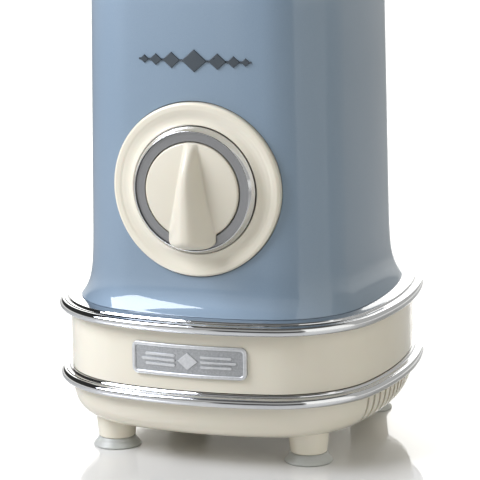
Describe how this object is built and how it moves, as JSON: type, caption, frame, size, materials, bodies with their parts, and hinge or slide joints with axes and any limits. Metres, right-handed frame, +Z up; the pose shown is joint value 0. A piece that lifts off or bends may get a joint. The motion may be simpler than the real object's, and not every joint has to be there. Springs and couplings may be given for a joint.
{
  "type": "countertop blender",
  "caption": "Retro countertop blender with a flared square body, chrome bands, a front dial, suction feet and a lift-off glass jar.",
  "frame": {"origin": "on the motor axis, at the worktop surface under the suction feet", "axes": "+Z up along the motor axis, -Y towards the front with the dial, +X to the right seen from the front"},
  "size_m": [0.165, 0.165, 0.4215],
  "materials": {
    "cream_plastic": "gloss",
    "blue_plastic": "gloss pearl",
    "chrome_trim": "mirror",
    "badge_silver": "satin",
    "emblem_grey": "satin",
    "dial_grey": "brushed",
    "knob_cream": "gloss",
    "black_plastic": "matt",
    "steel": "satin",
    "copper": "enamelled",
    "bronze": "matt",
    "lamination": "oxidised",
    "carbon": "matt",
    "fan_plastic": "matt",
    "board_green": "matt",
    "component_grey": "matt",
    "dark_rubber": "matt",
    "foot_silicone": "translucent satin",
    "seal_silicone": "satin",
    "jar_clear": "clear",
    "blade_steel": "polished"
  },
  "bodies": {
    "base": {"lower_housing": "cream_plastic", "suction_feet": "foot_silicone", "housing_screws": "steel", "lower_chrome_band": "chrome_trim", "mid_housing": "cream_plastic", "upper_chrome_band": "chrome_trim", "upper_housing": "blue_plastic", "badge_plate": "badge_silver", "front_emblem": "emblem_grey", "dial_bezel": "cream_plastic", "dial_trim_ring": "chrome_trim", "dial_face": "dial_grey", "rotary_switch": "black_plastic", "switch_nut": "steel", "cord_gland": "black_plastic", "jar_seat": "cream_plastic", "splash_seal": "dark_rubber", "upper_motor_bracket": "steel", "lower_motor_bracket": "steel", "upper_bearing": "bronze", "lower_bearing": "bronze", "stator_core": "lamination", "field_coils": "copper", "motor_bolts": "steel", "motor_spacers": "steel", "motor_cushions": "dark_rubber", "brush_holders": "black_plastic", "carbon_brushes": "carbon", "control_board": "board_green", "board_components": "component_grey", "interlock_bracket": "steel", "interlock_switch": "black_plastic", "interlock_spring": "steel"},
    "knob": {"speed_knob": "knob_cream", "switch_shaft": "steel"},
    "rotor": {"motor_shaft": "steel", "armature_core": "lamination", "armature_windings": "copper", "commutator": "copper", "cooling_fan": "fan_plastic", "drive_coupling": "dark_rubber"},
    "interlock": {"interlock_pin": "fan_plastic"},
    "jar": {"jar_glass": "jar_clear", "jar_collar": "cream_plastic", "jar_gasket": "seal_silicone", "blade_hub": "steel", "blade_bearing": "bronze"},
    "blades": {"blade_shaft": "steel", "lower_blade": "blade_steel", "upper_blade": "blade_steel", "blade_nut": "steel", "driven_coupling": "black_plastic"},
    "lid": {"jar_lid": "cream_plastic", "lid_gasket": "seal_silicone"},
    "cap": {"measuring_cap": "cream_plastic"}
  },
  "joints": [
    {"name": "knob_turn", "type": "hinge", "parent": "base", "child": "knob", "pos_m": [0, -0.069, 0.1282], "axis": [0, 1, 0], "range_deg": [-40, 95]},
    {"name": "motor_spin", "type": "hinge", "parent": "base", "child": "rotor", "pos_m": [0, 0, 0.1535], "axis": [0, 0, 1], "continuous": true},
    {"name": "interlock_slide", "type": "slide", "parent": "base", "child": "interlock", "axis": [0, 0, 1], "range_m": [0, 0.0035], "deforming": ["interlock_spring"]},
    {"name": "jar_lift", "type": "slide", "parent": "base", "child": "jar", "axis": [0, 0, 1], "range_m": [0, 0.06]},
    {"name": "blade_spin", "type": "hinge", "parent": "jar", "child": "blades", "pos_m": [0, 0, 0.25], "axis": [0, 0, 1], "continuous": true},
    {"name": "lid_lift", "type": "slide", "parent": "jar", "child": "lid", "axis": [0, 0, 1], "range_m": [0, 0.05]},
    {"name": "cap_lift", "type": "slide", "parent": "lid", "child": "cap", "axis": [0, 0, 1], "range_m": [0, 0.035]}
  ],
  "couplings": [
    {"joint": "blade_spin", "follows": "motor_spin", "ratio": 1},
    {"joint": "interlock_slide", "follows": "jar_lift", "ratio": 0.05833}
  ]
}
